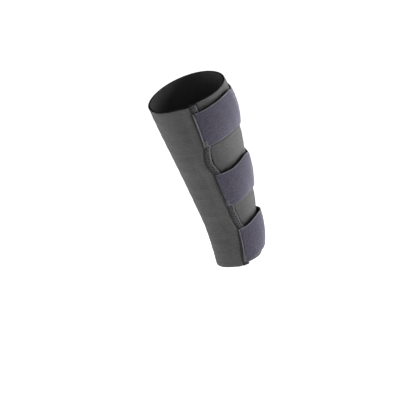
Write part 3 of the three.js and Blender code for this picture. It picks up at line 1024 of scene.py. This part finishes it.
def strap_stitches(strap, length):
    """A row along each dark band of the sewn end, and four round the hook tab that is sewn
    under the free end."""
    rows = np.arange(STITCH_MARGIN + 0.2, STRAP_WIDTH - STITCH_MARGIN, STITCH_PITCH)
    lines = [
        (start + STITCH_INSET, rows, depth)
        for start, depth, kind in strap.bands if kind == DARK
    ]
    far = length - TAB_INSET - STITCH_MARGIN
    near = length - TAB_INSET - TAB_LENGTH + STITCH_MARGIN
    low = TAB_INSET + STITCH_MARGIN
    high = STRAP_WIDTH - TAB_INSET - STITCH_MARGIN
    along_tab = np.arange(near, far, STITCH_PITCH)
    across_tab = np.arange(low, high, STITCH_PITCH)
    lines += [(along_tab, low, STITCH_SUNK), (along_tab, high, STITCH_SUNK)]
    lines += [(near, across_tab, STITCH_SUNK), (far, across_tab, STITCH_SUNK)]
    starts, ends, normals = [], [], []
    for line_along, line_across, sunk in lines:
        u, across = np.broadcast_arrays(line_along / length, line_across / STRAP_WIDTH)
        points, outward = strap_surface(strap, u, across, STRAP_THICKNESS - sunk)
        starts.append(points[:-1])
        ends.append(lerp(points[:-1], points[1:], STITCH_SHARE))
        normals.append(outward[:-1])
    return threads(
        f"{strap.name}_strap_stitches", np.concatenate(starts), np.concatenate(ends),
        np.concatenate(normals), DARK_THREAD, radius=0.22, lift=0.2,
    )


def bar_tack(strap, length):
    """A dense zigzag that holds the lower corner of the sewn end."""
    steps = np.arange(0, TACK_LENGTH, TACK_PITCH)
    points_across = TACK_INSET + steps
    points_along = TACK_FROM + TACK_WIDTH * (np.arange(len(steps)) % 2)
    depth = band_depth(strap, along_seam(strap, points_along, points_across))
    u, across = points_along / length, points_across / STRAP_WIDTH
    points, outward = strap_surface(strap, u, across, STRAP_THICKNESS - depth + 0.1)
    return threads(
        f"{strap.name}_bar_tack", points[:-1], points[1:], outward[:-1], TACK_THREAD,
        radius=0.3, lift=0.4,
    )


def brushed_loops(strap, length):
    """Short fine loops that stand up out of the strap's nap."""
    nap_from = strap.bands[-1][0] + 0.6
    points_along = RNG.uniform(nap_from, length - 1.5, LOOP_COUNT)
    side = SELVEDGE_WIDTH + 0.4
    points_across = RNG.uniform(side, STRAP_WIDTH - side, LOOP_COUNT)
    from_side = np.minimum(points_across, STRAP_WIDTH - points_across)
    points_along = np.minimum(points_along, length - edge_drop(from_side, END_ROUNDING) - 2)
    lean = RNG.normal(0, LOOP_LEAN, LOOP_COUNT)
    reach = RNG.uniform(*LOOP_REACH, LOOP_COUNT)
    root = STRAP_THICKNESS - LOOP_ROOT
    start, outward = strap_surface(strap, points_along / length, points_across / STRAP_WIDTH, root)
    far_along = (points_along + reach * np.cos(lean)) / length
    far_across = (points_across + reach * np.sin(lean)) / STRAP_WIDTH
    end, _ = strap_surface(strap, far_along, far_across, root)
    return threads(
        f"{strap.name}_brushed_loops", start, end, outward, LOOP_FIBRE,
        radius=0.06, lift=0.32, sides=3, rings=5,
    )


# Hook tape under the straps' free ends

TAPE_BASE = 0.5
HOOK_MARGIN = 0.8
HOOK_ROOT = 0.1
HOOK_REACH = 0.5  # degrees of azimuth that a hook bends over


def tab_grid(strap, columns, rows, margin=0.0):
    """Azimuths and heights on the hook tab, evenly spread."""
    azimuth, across = np.meshgrid(
        np.linspace(tab_start(strap) + margin, tab_end(strap) - margin, columns),
        np.linspace(TAB_INSET + margin, STRAP_WIDTH - TAB_INSET - margin, rows) / STRAP_WIDTH,
    )
    return azimuth, strap_height(strap, azimuth, across)


def hook_tape(strap):
    """The thin moulded base of the hooks."""
    azimuth, z = tab_grid(strap, 30, 20)
    outer = leg_point(azimuth, z, np.full(z.shape, ON_CALF + TAB_THICKNESS))
    inner = leg_point(azimuth, z, np.full(z.shape, ON_CALF + TAB_THICKNESS - TAPE_BASE))
    uvs = np.stack([azimuth, z], -1) * MM
    face_kinds = (0, 0, (0,) * 4)
    return closed_sheet(f"{strap.name}_hook_tape", outer, inner, uvs, [PLASTIC], face_kinds)


def hook_rows(strap):
    """Rows of small hooks that point at the calf."""
    azimuth, z = (grid.ravel() for grid in tab_grid(strap, 24, 30, HOOK_MARGIN))
    root = np.full(z.shape, ON_CALF + TAB_THICKNESS - TAPE_BASE + HOOK_ROOT)
    foot = leg_point(azimuth, z, root)
    tip = leg_point(azimuth + HOOK_REACH, z, root)
    return threads(
        f"{strap.name}_hooks", foot, tip, -surface_normals(azimuth, z), PLASTIC,
        radius=0.13, lift=TAB_THICKNESS - TAPE_BASE - HOOK_ROOT,
    )


# Build

def keep(piece, slot, *nodes):
    """Ties a piece to the body and hides the model's parts for the nodes that it stands for. The
    slot is not used.
    """
    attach(piece, "root")
    if nodes:
        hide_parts(*nodes)
    return piece


wrap, (wrap_width, wrap_height, wrap_area) = wrap_piece()
keep(wrap, "neoprene_cloth", "neoprene_wrap")
binding, (tape_width, tape_length, tape_area) = binding_piece()
keep(binding, "binding_tape", "edge_binding")
zigzag = keep(zigzag_piece(), "binding_tape")
for strap in STRAPS:
    piece, length = strap_piece(strap)
    keep(piece, "strap_loop", f"{strap.name}_strap")
    stitches = keep(strap_stitches(strap, length), "strap_loop")
    tack = keep(bar_tack(strap, length), "strap_loop")
    loops = keep(brushed_loops(strap, length), "strap_loop")
    keep(hook_tape(strap), "hook_patch", f"{strap.name}_hook_tab")
    keep(hook_rows(strap), "hook_patch")


# Stage, lights and camera, in metres

FLOOR_HEIGHT = -0.3
FLOOR_HALF = 30.0
FLOOR_GLOW = 0.78  # light that the floor gives, against 1 for what the camera sees
LEVEL_LIGHT, OVERHEAD_LIGHT = 0.046, 0.018
CAMERA_AZIMUTH, CAMERA_ELEVATION, CAMERA_ROLL = 65, 25, -18
CAMERA_DISTANCE = 2.0
FOCAL_PIXELS, FRAME_PIXELS = 1480, 400
SENSOR = 36.0


def direction(azimuth, elevation):
    """From the object towards something seen at these angles, in degrees."""
    turn, rise = math.radians(azimuth), math.radians(elevation)
    level = math.cos(rise)
    return Vector((math.sin(turn) * level, -math.cos(turn) * level, math.sin(rise)))


def stage_floor():
    s = Shader("pale_floor", 0.9)
    s.colour((0.92, 0.92, 0.92, 1))
    seen = s.node("ShaderNodeLightPath").outputs["Is Camera Ray"]
    s.shader.inputs["Emission Color"].default_value = (1, 1, 1, 1)
    s.feed(s.shader.inputs["Emission Strength"], s.ramp(seen, 0, 1, FLOOR_GLOW, 1.0))
    corners = [(-1, -1), (1, -1), (1, 1), (-1, 1)]
    points = np.array([(x * FLOOR_HALF, y * FLOOR_HALF, FLOOR_HEIGHT) for x, y in corners])
    add_object("floor", points / MM, [(0, 1, 2, 3)], [s.material])


def area_light(name, azimuth, elevation, distance, size, power):
    """A round lamp that faces the object's middle."""
    data = bpy.data.lights.new(name, "AREA")
    data.shape = "DISK"
    data.size = size
    data.energy = power
    back = direction(azimuth, elevation)
    lamp = bpy.data.objects.new(name, data)
    lamp.location = Vector((0, 0, 0.12)) + back * distance
    lamp.rotation_mode = "QUATERNION"
    lamp.rotation_quaternion = back.to_track_quat("Z", "Y")
    bpy.context.scene.collection.objects.link(lamp)


def photo_camera():
    """The photo's angle, with the object where the photo has it in the frame."""
    roll = math.radians(CAMERA_ROLL)
    back = direction(CAMERA_AZIMUTH, CAMERA_ELEVATION)
    level = direction(CAMERA_AZIMUTH + 90, 0)
    rise = back.cross(level)
    right = level * math.cos(roll) + rise * math.sin(roll)
    up = rise * math.cos(roll) - level * math.sin(roll)
    target = Vector((0, 0.002, 0.128)) - right * 0.0211 - up * 0.0365
    data = bpy.data.cameras.new("camera")
    data.sensor_width = SENSOR
    data.lens = FOCAL_PIXELS / FRAME_PIXELS * SENSOR
    data.clip_start, data.clip_end = 0.05, 30
    camera = bpy.data.objects.new("camera", data)
    turn = Matrix((right, up, back)).transposed().to_4x4()
    camera.matrix_world = Matrix.Translation(target + back * CAMERA_DISTANCE) @ turn
    bpy.context.scene.collection.objects.link(camera)
    bpy.context.scene.camera = camera


def white_world():
    """A studio that looks white and gives a little light, least from overhead."""
    world = bpy.data.worlds.new("studio")
    n = Nodes(world)
    height = n.node("ShaderNodeSeparateXYZ", {
        "Vector": n.node("ShaderNodeTexCoord").outputs["Generated"],
    }).outputs["Z"]
    strength = n.node("ShaderNodeMix", {
        "Factor": n.node("ShaderNodeLightPath").outputs["Is Camera Ray"],
        "A": n.ramp(height, 0.0, 0.8, LEVEL_LIGHT, OVERHEAD_LIGHT),
        "B": 1.0,
    })
    background = n.nodes["Background"]
    background.inputs["Color"].default_value = (1, 1, 1, 1)
    n.links.new(strength.outputs["Result"], background.inputs["Strength"])
    bpy.context.scene.world = world


stage_floor()
white_world()
area_light("right_softbox", 148, 5, 1.6, 1.2, 36)
area_light("left_softbox", -25, 4, 1.8, 1.2, 12)
area_light("front_fill", 62, 24, 2.2, 2.0, 8)
photo_camera()
bpy.context.scene.view_settings.view_transform = "Standard"
